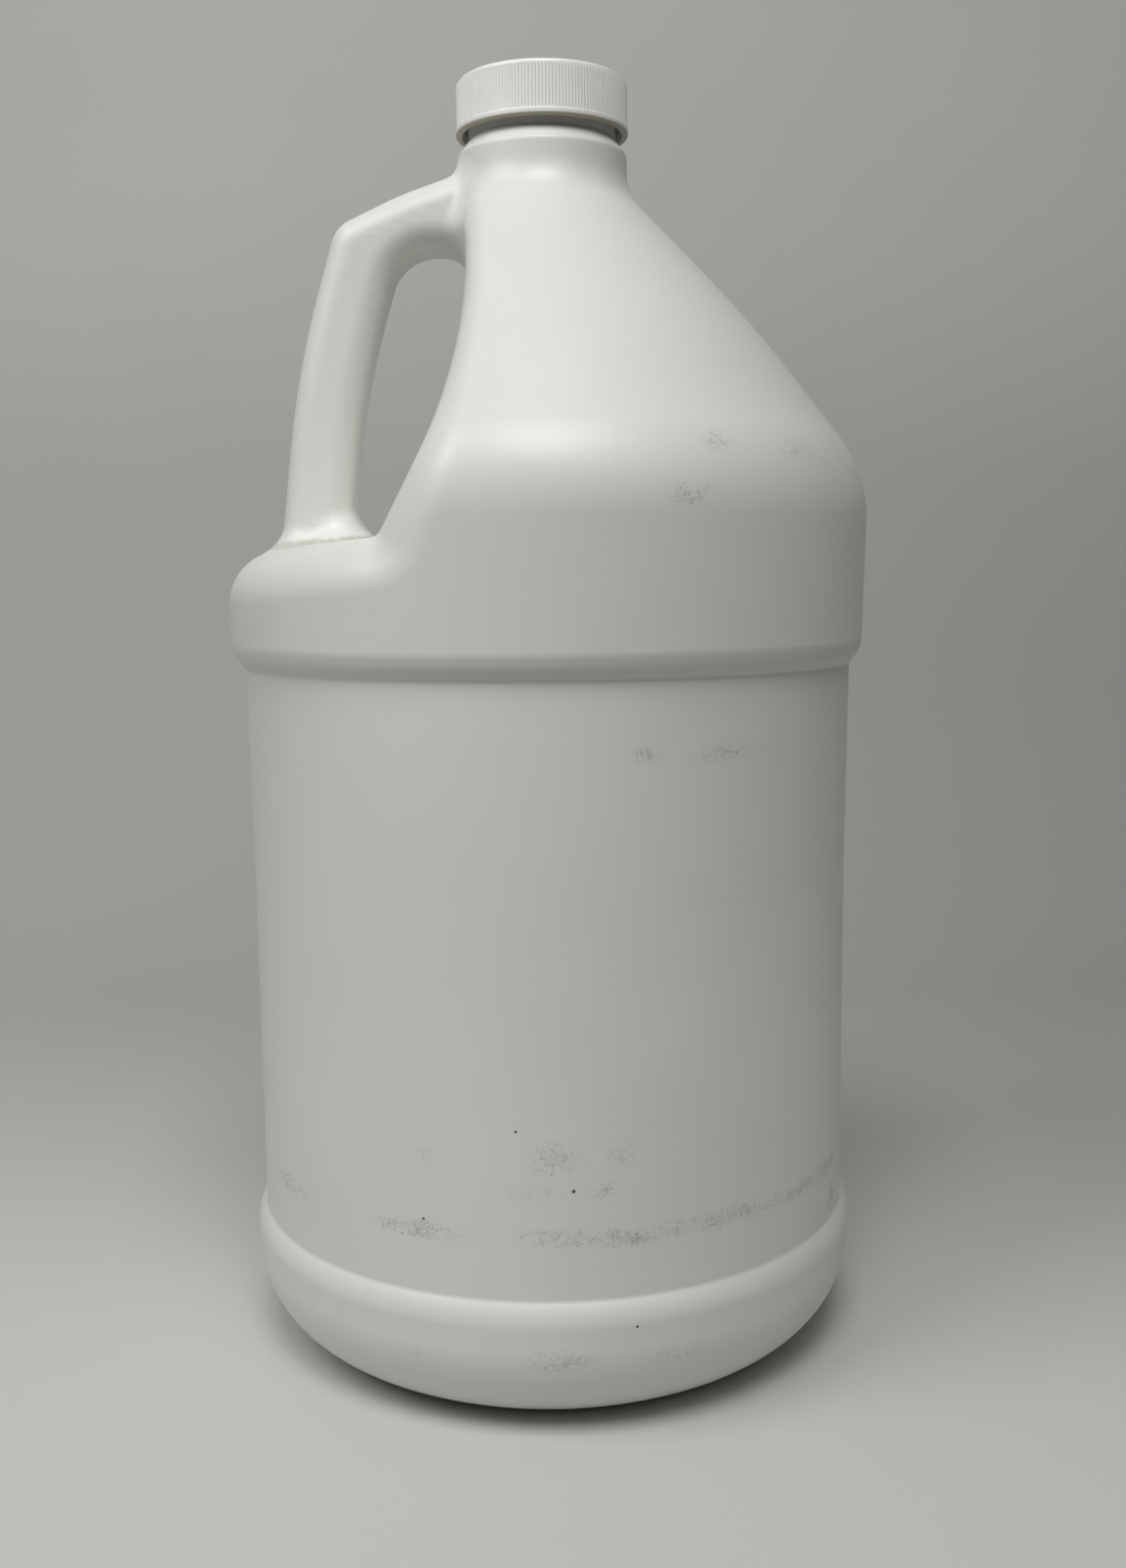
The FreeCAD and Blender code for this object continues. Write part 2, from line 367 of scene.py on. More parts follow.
elbow_in, bend_in, foot_in = moved_in([elbow, grip_bend, grip_foot], grip_depth)
share = (arm_underside - elbow_in[1]) / (bend_in[1] - elbow_in[1])
finger_corner = (elbow_in[0] + share * (bend_in[0] - elbow_in[0]), arm_underside, finger_rounding)
handle_inside = Outline([foot_in, bend_in, finger_corner, (arm_root[0], arm_underside, 0)])
print("finger corner at", [round(float(v), 1) for v in finger_corner[:2]])


# %% [markdown]
# ## Joining and cutting with a rounding
#
# Where two distance fields meet, the larger of the two is their common part and the smaller is
# their union. Adding a quarter circle between them rounds the edge or fills the corner. The
# radius is an array, so it can follow the height: 11 mm at the ledge, 5 mm beside the neck.

# %% Rounded cuts and joins
def cut_rounded(solid, cutter, radius):
    """The solid without the cutter, with the new edge rounded."""
    a, b = solid, -cutter
    edge = np.hypot(np.maximum(radius + a, 0), np.maximum(radius + b, 0))
    return np.minimum(np.maximum(a, b), -radius) + edge


def joined_rounded(a, b, radius):
    """Both solids, with the corner between them filled."""
    corner = np.hypot(np.maximum(radius - a, 0), np.maximum(radius - b, 0))
    return np.maximum(np.minimum(a, b), radius) - corner


filling = joined_rounded(1.0, 1.0, 4.0)
print("1 mm from both sides of a 4 mm corner:", round(float(filling), 2), "mm, so inside its filling")

# %% The jug as one distance field
handle_side_x = 5
slope_reach = 0.02


def recess_rounding(z):
    """The rounding of the recess's edge at each height."""
    return np.interp(z, [190, 200, 208, 262], [11.5, 10, 8, 5])


def handle_fillet(x, z):
    """The filling round the handle's ends, wider at the foot on the side that faces the body."""
    plain = np.interp(z, [200, 215, 255, 266, 276], [6.5, 5, 6, 6, 4])
    toe = np.interp(x, [-56, -47], [0, 1]) * np.interp(z, [200, 212], [5.5, 0])
    return plain + toe


def jug_field(points, revolved, depth):
    """Distance to the skin of the jug, moved in by depth; revolved is the outline of its body."""
    x, y, z = points[..., 0], points[..., 1], points[..., 2]
    body = revolved.distance(np.hypot(x, y), z)
    # only the handle's side is cut and joined
    near = x < handle_side_x
    whole = body.copy()
    x, y, z, body = x[near], y[near], z[near], body[near]
    carved = cut_rounded(body, recess.distance(x, z) - depth, recess_rounding(z) - depth)
    bar = np.maximum(handle_outside.distance(x, z), handle_inside.distance(x, z)) + depth
    side = handle_width / 2 - np.abs(y) - depth
    bar = cut_rounded(bar, side, handle_rounding - depth)
    whole[near] = joined_rounded(carved, bar, handle_fillet(x, z) + depth)
    return whole


def outside_field(points):
    return jug_field(points, outer, 0)


def cavity_field(points):
    """Positive in the cavity, so that faces point out of the plastic."""
    return -jug_field(points, inner, wall)


def slope(field, points):
    """The unit normal of a field at the points, from differences to both sides."""
    parts = []
    for axis in np.eye(3) * slope_reach:
        parts.append(field(points + axis) - field(points - axis))
    normal = np.stack(parts, axis=-1)
    return normal / np.linalg.norm(normal, axis=-1, keepdims=True)


panel_front = np.array([[0.0, -panel_radius, 80.0]])
print("the panel's front lies", round(float(outside_field(panel_front)[0]), 3), "mm from the skin")

# %% [markdown]
# ## A skin over the field
#
# Most of the jug is round, so its skin is laid in rings, as a lathe would. Only from the belt up
# to the neck does the recess break the rings. There the field is sampled on a round lattice of
# radii, angles and heights, and a vertex is set in each cell that the surface crosses, then drawn
# onto the surface. Because the lattice is round too, the plain parts of that zone come out as
# rings and columns that meet the lathed parts point for point.

# %% A round lattice and where the surface crosses it
columns = 280
column_angles = (np.arange(columns) + 0.5) * 2 * math.pi / columns


def ends(axis):
    """Picks the lower and the upper end of every lattice edge along an axis."""
    low, high = [slice(None)] * 3, [slice(None)] * 3
    low[axis], high[axis] = slice(0, -1), slice(1, None)
    return tuple(low), tuple(high)


def crossings(values):
    """Sums, for each cell, the places where the surface crosses its edges, and counts them."""
    shape = tuple(n - 1 for n in values.shape)
    total = np.zeros(shape)
    place = np.zeros(shape + (3,))
    for axis in range(3):
        low, high = ends(axis)
        first, second = values[low], values[high]
        crossed = (first < 0) != (second < 0)
        share = np.where(crossed, first / np.where(crossed, first - second, 1), 0)
        u, v = [k for k in range(3) if k != axis]
        for side_u, side_v in ((0, 0), (0, 1), (1, 0), (1, 1)):
            pick = [slice(None)] * 3
            pick[u] = slice(side_u, side_u + shape[u])
            pick[v] = slice(side_v, side_v + shape[v])
            here = crossed[tuple(pick)]
            total += here
            place[..., axis] += np.where(here, share[tuple(pick)], 0)
            place[..., u] += here * side_u
            place[..., v] += here * side_v
    return place, total


print("lattice columns:", columns)


# %% Faces round the crossed edges
def quads_between(solid, numbers):
    """A quad round every lattice edge that the surface crosses, turned to face outwards."""
    quads = []
    for axis, (p, q) in enumerate([(1, 2), (2, 0), (0, 1)]):
        low, high = ends(axis)
        crossed = solid[low] != solid[high]
        if axis != 1:
            # the last column of the lattice is the first one again
            crossed = crossed[:, :-1]
        edges = np.argwhere(crossed)
        inside = solid[tuple(edges.T)]
        corners = []
        for shift_p, shift_q in ((-1, -1), (0, -1), (0, 0), (-1, 0)):
            cell = edges.copy()
            cell[:, p] += shift_p
            cell[:, q] += shift_q
            cell[:, 1] %= columns
            fits = (cell >= 0).all(1) & (cell < numbers.shape).all(1)
            found = np.full(len(cell), -1)
            found[fits] = numbers[tuple(cell[fits].T)]
            corners.append(found)
        corners = np.stack(corners, axis=1)
        corners[~inside] = corners[~inside][:, ::-1]
        quads.append(corners[(corners >= 0).all(1)])
    return np.concatenate(quads)


print("quad helper ready")

# %% The net, drawn onto the surface
drawing_rounds = 4


def net(field, radii, heights):
    """Vertices, quads and the two open rings of the surface where the field is zero."""
    angles = np.arange(columns) * 2 * math.pi / columns
    r, a, z = np.meshgrid(radii, angles, heights, indexing="ij")
    values = field(np.stack([r * np.cos(a), r * np.sin(a), z], axis=-1))
    values = np.concatenate([values, values[:, :1]], axis=1)
    place, total = crossings(values)
    cells = np.nonzero(total)
    i, j, k = cells
    numbers = np.full(total.shape, -1)
    numbers[cells] = np.arange(len(i))
    within = place[cells] / total[cells][:, None]
    radius = radii[i] + within[:, 0] * np.diff(radii)[i]
    angle = (j + within[:, 1]) * 2 * math.pi / columns
    height = heights[k] + within[:, 2] * np.diff(heights)[k]
    points = np.column_stack([radius * np.cos(angle), radius * np.sin(angle), height])
    rings = []
    for layer in (0, total.shape[2] - 1):
        ring = np.full(columns, -1)
        ring[j[k == layer]] = np.flatnonzero(k == layer)
        rings.append(ring)
    return points, quads_between(values < 0, numbers), rings


def drawn_on(field, points):
    """The points moved along the slope onto the surface."""
    for _ in range(drawing_rounds):
        points = points - field(points)[:, None] * slope(field, points)
    return points


print("rounds of drawing:", drawing_rounds)

# %% The zone of the recess
net_bottom = 178.0
net_top = 290.5
outside_step = 1.6
outside_layers = 42
cavity_step = 2.5
cavity_layers = 27
cavity_rise = 4.0
# the sloping shelf under the finish needs closer rings
shelf_zone = shelf_start - 1.5
shelf_rise = 0.5
outside_radii = finish_radius - 2.5 * outside_step + outside_step * np.arange(outside_layers)
outside_heights = np.append(
    np.arange(net_bottom, shelf_zone - shelf_rise, outside_step),
    np.arange(shelf_zone, net_top, shelf_rise),
)
cavity_radii = bore_radius - 0.5 * cavity_step + cavity_step * np.arange(cavity_layers)
cavity_heights = np.append(
    np.arange(net_bottom, shelf_start, cavity_rise),
    np.arange(shelf_start + 2 * shelf_rise, net_top + shelf_rise, 2 * shelf_rise),
)

outside_points, outside_quads, outside_rings = net(outside_field, outside_radii, outside_heights)
outside_points = drawn_on(outside_field, outside_points)
cavity_points, cavity_quads, cavity_rings = net(cavity_field, cavity_radii, cavity_heights)
cavity_points = drawn_on(cavity_field, cavity_points)
print("net quads outside and inside:", len(outside_quads), len(cavity_quads))


# %% [markdown]
# ## Lathed rings, and one mesh
#
# Below the recess and above the shelf the jug is a plain turned form. Its rings are spun from
# points sampled along the outline, close together round each rounding and further apart on the
# straights. Rings and nets are then linked in one order: up the outside, over the rim, and down
# the inside to the middle of the base.

# %% A skin of rings
class Skin:
    """Collects vertices, normals and faces of one mesh, in millimetres."""

    def __init__(self, angles):
        self.angles = angles
        self.points = []
        self.normals = []
        self.faces = []
        self.count = 0

    def add(self, points, normals):
        self.points.append(points)
        self.normals.append(normals)
        self.count += len(points)
        return self.count - len(points)

    def turned(self, pair):
        """An (outward, upward) pair, carried round the axis."""
        c, s = np.cos(self.angles), np.sin(self.angles)
        return np.column_stack([pair[0] * c, pair[0] * s, np.full(len(c), pair[1])])

    def rings(self, path, slopes):
        starts = [self.add(self.turned(place), self.turned(lean)) for place, lean in zip(path, slopes)]
        return [start + np.arange(len(self.angles)) for start in starts]

    def pole(self, height, upward):
        """A vertex on the axis, repeated so that it can stand in for a ring."""
        index = self.add(np.array([[0, 0, height]]), np.array([[0, 0, upward]]))
        return np.full(len(self.angles), index)

    def close_start(self, height, ring):
        self.faces.append(np.column_stack([self.pole(height, -1), np.roll(ring, -1), ring]))

    def link(self, rings):
        for low, high in zip(rings[:-1], rings[1:]):
            self.faces.append(np.column_stack([low, np.roll(low, -1), np.roll(high, -1), high]))

    def close_end(self, ring, height):
        self.faces.append(np.column_stack([ring, np.roll(ring, -1), self.pole(height, 1)]))

    def mesh(self, name):
        faces = [face for part in self.faces for face in part.tolist()]
        mesh = bpy.data.meshes.new(name)
        mesh.from_pydata(np.concatenate(self.points) * MM, [], faces)
        mesh.shade_smooth()
        mesh.normals_split_custom_set_from_vertices(np.concatenate(self.normals))
        return mesh


print("skin helper ready")


# %% Points along the outlines
def profile_slopes(outline, path, flip=1):
    """The outline's normals at points of its path, as (outward, upward) pairs."""
    x, z = path.T
    outward = outline.distance(x + slope_reach, z) - outline.distance(x - slope_reach, z)
    upward = outline.distance(x, z + slope_reach) - outline.distance(x, z - slope_reach)
    normal = np.column_stack([outward, upward])
    return flip * normal / np.hypot(*normal.T)[:, None]


run_step = 8.0
hidden_tolerance = 0.1
rim_corners = [
    (finish_radius, shelf_top, 0),
    (finish_radius, rim_height, rim_rounding),
    (bore_radius, rim_height, rim_rounding),
    (bore_radius, shelf_top, 0),
]
rim = Outline(rim_corners)
outer_path = outer.sampled(run_step)[1:]
rim_path = rim.sampled(run_step / 2)
inner_path = inner.sampled(2 * run_step, hidden_tolerance)[1:]
outer_path = outer_path[: np.argmax(outer_path[:, 1] > net_bottom)]
inner_path = inner_path[: np.argmax(inner_path[:, 1] > net_bottom)][::-1]
rim_path = rim_path[rim_path[:, 1] > net_top + shelf_rise]
print("rings outside, over the rim and inside:", len(outer_path), len(rim_path), len(inner_path))

# %% Spin the rings and link everything
skin = Skin(column_angles)
outer_rings = skin.rings(outer_path, profile_slopes(outer, outer_path))
start = skin.add(outside_points, slope(outside_field, outside_points))
skin.faces.append(outside_quads + start)
outside_low, outside_high = (ring + start for ring in outside_rings)
rim_rings = skin.rings(rim_path, profile_slopes(rim, rim_path))
start = skin.add(cavity_points, slope(cavity_field, cavity_points))
skin.faces.append(cavity_quads + start)
cavity_low, cavity_high = (ring + start for ring in cavity_rings)
inner_rings = skin.rings(inner_path, profile_slopes(inner, inner_path, flip=-1))

skin.close_start(push_up, outer_rings[0])
skin.link(outer_rings + [outside_low])
skin.link([outside_high] + rim_rings + [cavity_high])
skin.link([cavity_low] + inner_rings)
skin.close_end(inner_rings[-1], push_up + wall)

jug_mesh = skin.mesh("jug_shell")
jug = placed("jug_shell", jug_mesh)
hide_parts("jug")
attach(jug, "jug")
jug_triangles = sum(len(face.vertices) - 2 for face in jug_mesh.polygons)
print("jug triangles:", jug_triangles)

# %% [markdown]
# ## Nodes without clicking
#
# Both material maths and Geometry Nodes are trees of nodes. One class adds nodes, and a small
# class of wires lets maths be written as it is on paper: 1 - mask * 0.5 adds its own Math nodes.

# %% Maths written as expressions
class Wire:
    """One output of a node, which makes Math nodes when it is added, multiplied and so on."""

    def __init__(self, nodes, socket):
        self.nodes = nodes
        self.socket = socket

    def math(self, operation, *values):
        return self.nodes.add("ShaderNodeMath", {"operation": operation}, dict(enumerate(values)))

    def __add__(self, other):
        return self.math("ADD", self, other)

    def __radd__(self, other):
        return self.math("ADD", other, self)

    def __sub__(self, other):
        return self.math("SUBTRACT", self, other)

    def __rsub__(self, other):
        return self.math("SUBTRACT", other, self)

    def __mul__(self, other):
        return self.math("MULTIPLY", self, other)

    def __rmul__(self, other):
        return self.math("MULTIPLY", other, self)

    def __abs__(self):
        return self.math("ABSOLUTE", self)

    def larger(self, other):
        return self.math("MAXIMUM", self, other)

    def between(self, low, high):
        """A smooth step from 0 at low to 1 at high."""
        settings = {"interpolation_type": "SMOOTHSTEP"}
        inputs = {0: self, "From Min": low, "From Max": high}
        return self.nodes.add("ShaderNodeMapRange", settings, inputs)

    def other(self, key):
        """Another output of the same node."""
        return Wire(self.nodes, self.socket.node.outputs[key])


print("wires can add, subtract and multiply")


# %% Nodes from one method
class Nodes:
    """Adds nodes to one tree."""

    def __init__(self, tree):
        self.tree = tree

    def fill_ramp(self, ramp, stops):
        """Stops are pairs of a position and a grey value."""
        while len(ramp.elements) < len(stops):
            ramp.elements.new(1.0)
        for element, (position, grey) in zip(ramp.elements, stops):
            element.position = position
            element.color = (grey, grey, grey, 1)

    def add(self, kind, settings=None, inputs=None):
        """A node of a kind, its settings first, then its sockets; gives its first live output."""
        node = self.tree.nodes.new(kind)
        for name, value in (settings or {}).items():
            if name == "stops":
                self.fill_ramp(node.color_ramp, value)
            else:
                setattr(node, name, value)
        for key, value in (inputs or {}).items():
            for one in value if isinstance(value, list) else [value]:
                if isinstance(one, Wire):
                    self.tree.links.new(one.socket, node.inputs[key])
                else:
                    node.inputs[key].default_value = one
        live = [socket for socket in node.outputs if socket.enabled]
        return Wire(self, live[0]) if live else None


print("node helpers ready")

# %% [markdown]
# ## The plastics
#
# The jug's plastic is white but not clean. Its surface has the fine orange peel of a sand-blasted
# mould, slow waves where the wall cooled unevenly, and a thin parting line where the two mould
# halves met, in the plane of the handle. A carton has rubbed it: a ring of grey patches runs
# round the panel just above the base, and smaller patches and specks lie where hands and other
# jugs have touched it.
#
# A rub mark takes two steps. A soft window of angle round the jug and of height says where it may
# lie. The window is then added to a fine noise, curled a little, and only what passes a threshold
# is grey. So a patch breaks up into specks and short hairs at its edges, as a real one does.
#
# All patterns read Object coordinates. They are in metres, so a noise scale of 1000 gives
# features about a millimetre wide.

# %% Material helpers
peel_scale = 900


def material_nodes(name):
    material = bpy.data.materials.new(name)
    material.use_nodes = True
    material.node_tree.nodes.clear()
    return material, Nodes(material.node_tree)


def own_place(nodes):
    """Object coordinates: the place on the piece, in metres."""
    return nodes.add("ShaderNodeTexCoord").other("Object")


def split(nodes, where):
    x = nodes.add("ShaderNodeSeparateXYZ", {}, {0: where})
    return x, x.other("Y"), x.other("Z")


def surface(nodes, base, roughness, normal):
    """A Principled surface with its output."""
    inputs = {"Base Color": base, "Roughness": roughness, "Normal": normal}
    shader = nodes.add("ShaderNodeBsdfPrincipled", {}, inputs)
    nodes.add("ShaderNodeOutputMaterial", {}, {"Surface": shader})


def mixed(nodes, mask, first, second):
    """A colour between two, by a mask from 0 to 1."""
    return nodes.add("ShaderNodeMix", {"data_type": "RGBA"}, {"Factor": mask, 6: first, 7: second})


def noise(nodes, where, scale, detail=2.0, roughness=0.5, curl=0.0):
    inputs = {"Vector": where, "Scale": scale, "Detail": detail}
    inputs.update({"Roughness": roughness, "Distortion": curl})
    return nodes.add("ShaderNodeTexNoise", {}, inputs)


def bumped(nodes, height, depth):
    """A Bump node; depth is the height in metres that a height of 1 stands for."""
    return nodes.add("ShaderNodeBump", {}, {"Height": height, "Strength": 1.0, "Distance": depth})


print("material helpers ready")

# %% Where the jug is rubbed
rub_bands = [
    # height and half height in mm, then patches: middle and half width in degrees, strength
    (
        46.8,
        3.8,
        [(-125, 24, 0.8), (-59, 7, 1.0), (-24, 11, 0.9), (1, 11, 0.8), (32, 20, 0.9), (62, 10, 1.0)],
    ),
    (46.2, 3.6, [(-54, 6, 0.8), (13, 14, 0.9), (50, 16, 1.0), (110, 24, 0.8), (155, 14, 0.9)]),
    (38.0, 6.0, [(66, 4, 0.8)]),
    (64.5, 6.5, [(-22, 4, 0.35), (0, 7, 0.75), (11, 4, 0.7)]),
    (57.0, 4.0, [(-4, 8, 0.45), (8, 4, 0.6)]),
    (20.0, 4.5, [(-24, 2, 0.6), (1, 9, 0.75), (20, 10, 0.5)]),
    (149.0, 3.6, [(16, 4, 0.7), (31, 11, 0.75)]),
    (120.0, 7.0, [(-130, 12, 0.6)]),
    (202.0, 4.5, [(22, 8, 0.65), (165, 12, 0.6)]),
    (213.0, 4.0, [(28, 4, 0.75), (45, 6, 0.65)]),
]
specks = [
    # angle, height in mm, radius in mm
    (-6.2, 70.4, 0.28),
    (3.3, 57.3, 0.36),
    (-22.7, 49.4, 0.30),
    (13.5, 27.0, 0.28),
]
print("rub marks in", len(rub_bands), "bands and", len(specks), "specks")


# %% Masks for the marks
# where each edge of the dirt and painted shade in the handle's foot crease fades, from and to
crease_sides = (17 * MM, 20 * MM)
crease_starts = (0.2 * MM, 0.7 * MM)
crease_ends = (1.6 * MM, 2.8 * MM)
crease_outside = (-76 * MM, -50 * MM)
crease_inside = (-39 * MM, -36.5 * MM)


def hump(value, middle, half_width):
    """1 at the middle, falling smoothly to 0 at half a width away."""
    return 1 - abs(value - middle).between(0.0, half_width)


def rubbed_mask(nodes, turn, height):
    """How much each place is rubbed, from 0 to 1; turn is 0 to 1 round the jug from its back."""
    mask = 0.0
    for middle, half_height, patches in rub_bands:
        stops = []
        for angle, half_width, strength in patches:
            for shift, grey in ((-half_width, 0.0), (0, strength), (half_width, 0.0)):
                stops.append(((angle + shift) / 360 + 0.5, grey))
        around = nodes.add("ShaderNodeValToRGB", {"stops": stops}, {0: turn})
        mask = (hump(height, middle * MM, half_height * MM) * around).larger(mask)
    return mask


def speck_mask(turn, height):
    """1 on each single dark speck."""
    mask = 0.0
    for angle, middle, radius in specks:
        across = (turn - (angle / 360 + 0.5)) * (2 * math.pi * panel_radius / radius)
        up = (height - middle * MM) * (1 / (radius * MM))
        mask = (1 - (across * across + up * up).between(0.5, 2.0)).larger(mask)
    return mask


def foot_crease_dirt_and_shade(x, y, z):
    """Dirt and painted shade in the crease low on the handle's foot, just above the sloping ledge,
    darker towards the gap.
    """
    beside = 1 - abs(y).between(*crease_sides)
    above = z - (x - ledge_inner_x * MM) * ledge_slope - ledge_inner_height * MM
    low = above.between(*crease_starts) - above.between(*crease_ends)
    near_gap = x.between(*crease_outside) * 0.65 + 0.35
    return beside * low * near_gap * (1 - x.between(*crease_inside))


print("mask helpers ready")

# %% The jug's plastic
jug_white = (0.745, 0.75, 0.715, 1)
jug_white_shade = (0.72, 0.725, 0.685, 1)
haze_grey = (0.66, 0.66, 0.625, 1)
rub_grey = (0.49, 0.485, 0.46, 1)
crease_dirt_and_shade_grey = (0.40, 0.37, 0.30, 1)
speck_black = (0.06, 0.055, 0.05, 1)
cloud_scale = 18
wave_scale = 28
smear_scale = 260
grit_scale = 1300
jug_relief = 0.04 * MM


def jug_plastic():
    material, nodes = material_nodes("jug_plastic")
    where = own_place(nodes)
    x, y, z = split(nodes, where)
    turn = x.math("ARCTAN2", x, 0 - y) * (0.5 / math.pi) + 0.5
    rubbed = rubbed_mask(nodes, turn, z)

    cloudy = noise(nodes, where, cloud_scale, 3)
    smear = noise(nodes, where, smear_scale, 2)
    grit = noise(nodes, where, grit_scale, 3, 0.65, curl=1.2)
    marks = (grit + smear * 0.3 + rubbed * 0.18).between(0.73, 0.92) * rubbed.between(0.02, 0.4)
    # dirt and painted shade in the crease where the handle's foot meets the ledge
    crease = foot_crease_dirt_and_shade(x, y, z) * (smear + grit).between(0.65, 1.05)
    base = mixed(nodes, cloudy.between(0.3, 0.7), jug_white, jug_white_shade)
    base = mixed(nodes, rubbed * 0.3, base, haze_grey)
    base = mixed(nodes, marks, base, rub_grey)
    base = mixed(nodes, crease * 0.75, base, crease_dirt_and_shade_grey)
    base = mixed(nodes, speck_mask(turn, z), base, speck_black)

    peel = noise(nodes, where, peel_scale, 2)
    waves = noise(nodes, where, wave_scale, 1)
    parting = 1 - abs(y).between(0.05 * MM, 0.35 * MM)
    normal = bumped(nodes, peel * 0.45 + waves * 8 + parting * 1.5 + marks * 0.3, jug_relief)
    roughness = 0.34 + cloudy * 0.06 + rubbed * 0.08 + marks * 0.2
    surface(nodes, base, roughness, normal)
    return material


jug_material = jug_plastic()
jug.data.materials.append(jug_material)
print("jug plastic nodes:", len(jug_material.node_tree.nodes))


# %% The cap's plastic and the liner's foam
cap_low, cap_high = (corner * 1000 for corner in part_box("cap"))
liner_low, liner_high = (corner * 1000 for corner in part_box("cap_liner"))
cap_bottom = cap_low.z
cap_top = cap_high.z
cap_white = (0.84, 0.84, 0.815, 1)
cap_white_shade = (0.80, 0.80, 0.77, 1)
scratch_grey = (0.45, 0.44, 0.42, 1)
cap_edge_shade_brown = (0.36, 0.31, 0.22, 1)
cap_cloud_scale = 60
scratch_scale = 1400
cap_relief = 0.006 * MM
foam_pale = (0.75, 0.74, 0.7, 1)
foam_dark = (0.68, 0.67, 0.63, 1)
foam_cell_scale = 3500.0
foam_relief = 0.02 * MM


def cap_plastic():
    material, nodes = material_nodes("cap_plastic")
    where = own_place(nodes)
    cloudy = noise(nodes, where, cap_cloud_scale, 2)
    scratched = noise(nodes, where, scratch_scale, 3, 0.7).between(0.68, 0.8)
    base = mixed(nodes, cloudy, cap_white, cap_white_shade)
    base = mixed(nodes, scratched * 0.35, base, scratch_grey)
    height = split(nodes, where)[2]
    # painted shade: the cap's lower edge and the face under its skirt are painted dark brown
    lower_edge_shade = 1 - height.between((cap_bottom + 0.2) * MM, (cap_bottom + 0.9) * MM)
    base = mixed(nodes, lower_edge_shade * 0.85, base, cap_edge_shade_brown)
    peel = noise(nodes, where, peel_scale, 2)
    normal = bumped(nodes, peel + scratched * 0.4, cap_relief)
    surface(nodes, base, 0.28 + cloudy * 0.08 + scratched * 0.15, normal)
    return material


def liner_foam():
    material, nodes = material_nodes("liner_foam")
    where = own_place(nodes)
    cells = nodes.add("ShaderNodeTexVoronoi", {}, {"Vector": where, "Scale": foam_cell_scale})
    base = mixed(nodes, cells, foam_pale, foam_dark)
    surface(nodes, base, 0.6 + cells * 0.1, bumped(nodes, cells, foam_relief))
    return material


cap_material = cap_plastic()
foam_material = liner_foam()
print("materials:", [one.name for one in (jug_material, cap_material, foam_material)])

# %% [markdown]
# ## The threads
#
# The neck's thread and the cap's are the same ridge: a trapezium that climbs one pitch for each
# turn and fades at both ends, so that the cap starts easily. One stands outwards from the neck
# and the other inwards from the cap's wall, with a quarter of a millimetre between them.
#
# A screw modifier would turn the section about the axis but can't fade its ends. So Geometry
# Nodes sweep the section along a spiral, with a scale that falls off at both ends. Both ridges
# come from one tree, which takes its sizes as named inputs. The tree ends by making everything
# real and giving it its material.

# %% Geometry Nodes helpers
def geometry_tree(name, sizes):
    """A tree with a geometry input, a material input and one named input for each size."""
    tree = bpy.data.node_groups.new(name, "GeometryNodeTree")
    kinds = {"Geometry": "Geometry", "Material": "Material"}
    for label, value in sizes.items():
        kinds[label] = "Int" if isinstance(value, int) else "Float"
    for label, kind in kinds.items():
        tree.interface.new_socket(label, in_out="INPUT", socket_type="NodeSocket" + kind)
    tree.interface.new_socket("Geometry", in_out="OUTPUT", socket_type="NodeSocketGeometry")
    nodes = Nodes(tree)
    entry = tree.nodes.new("NodeGroupInput")
    given = {socket.name: Wire(nodes, socket) for socket in entry.outputs if socket.name}
    return nodes, given


def finish_tree(nodes, geometry, given):
    real = nodes.add("GeometryNodeRealizeInstances", {}, {0: geometry})
    painted = nodes.add("GeometryNodeSetMaterial", {}, {0: real, "Material": given["Material"]})
    nodes.add("NodeGroupOutput", {}, {0: painted})


def made_real(name, mesh, nodes, sizes, material):
    """Runs a tree on a mesh and gives the result as an object with a plain mesh."""
    holder = placed(name + "_source", mesh)
    modifier = holder.modifiers.new("nodes", "NODES")
    modifier.node_group = nodes.tree
    values = {**sizes, "Material": material}
    for item in nodes.tree.interface.items_tree:
        if item.in_out == "INPUT" and item.name in values:
            modifier[item.identifier] = values[item.name]
    evaluated = holder.evaluated_get(bpy.context.evaluated_depsgraph_get())
    result = bpy.data.meshes.new_from_object(evaluated)
    result.name = name
    holder.modifiers.remove(modifier)
    bpy.data.objects.remove(holder)
    return placed(name, result)


print("geometry helpers ready")

# %% Sizes of the thread
thread_pitch = 25.4 / 6
thread_turns = 1.25
thread_depth = 1.2
thread_root = 2.4
thread_crest = 0.9
thread_drop = 2.2
thread_sunk = 0.4
thread_fade = 0.09
thread_gap = 0.25
flank_gap = 0.3
thread_steps = 72
cap_thread_turn = 90
sharp_angle = 35
cap_bore_radius = finish_radius + thread_depth + thread_gap
flank_slope = (thread_root - thread_crest) / 2 / thread_depth
flank_reach = thread_root - flank_slope * (thread_depth + thread_gap)
jug_thread_start = rim_height - thread_drop - thread_turns * thread_pitch
cap_thread_start = jug_thread_start - flank_reach - flank_gap + thread_pitch * cap_thread_turn / 360
thread_sizes = {
    "Wall Radius": finish_radius * MM,
    "Outward": 1.0,
    "Turns": thread_turns,
    "Rise": thread_turns * thread_pitch * MM,
    "Depth": thread_depth * MM,
    "Sunk": thread_sunk * MM,
    "Half Foot": (thread_root / 2 + flank_slope * thread_sunk) * MM,
    "Half Crest": thread_crest / 2 * MM,
    "Fade": thread_fade,
    "Start Height": jug_thread_start * MM,
    "Start Angle": 0.0,
    "Steps": thread_steps,
}
print("threads start at", round(jug_thread_start, 2), "and", round(cap_thread_start, 2), "mm")


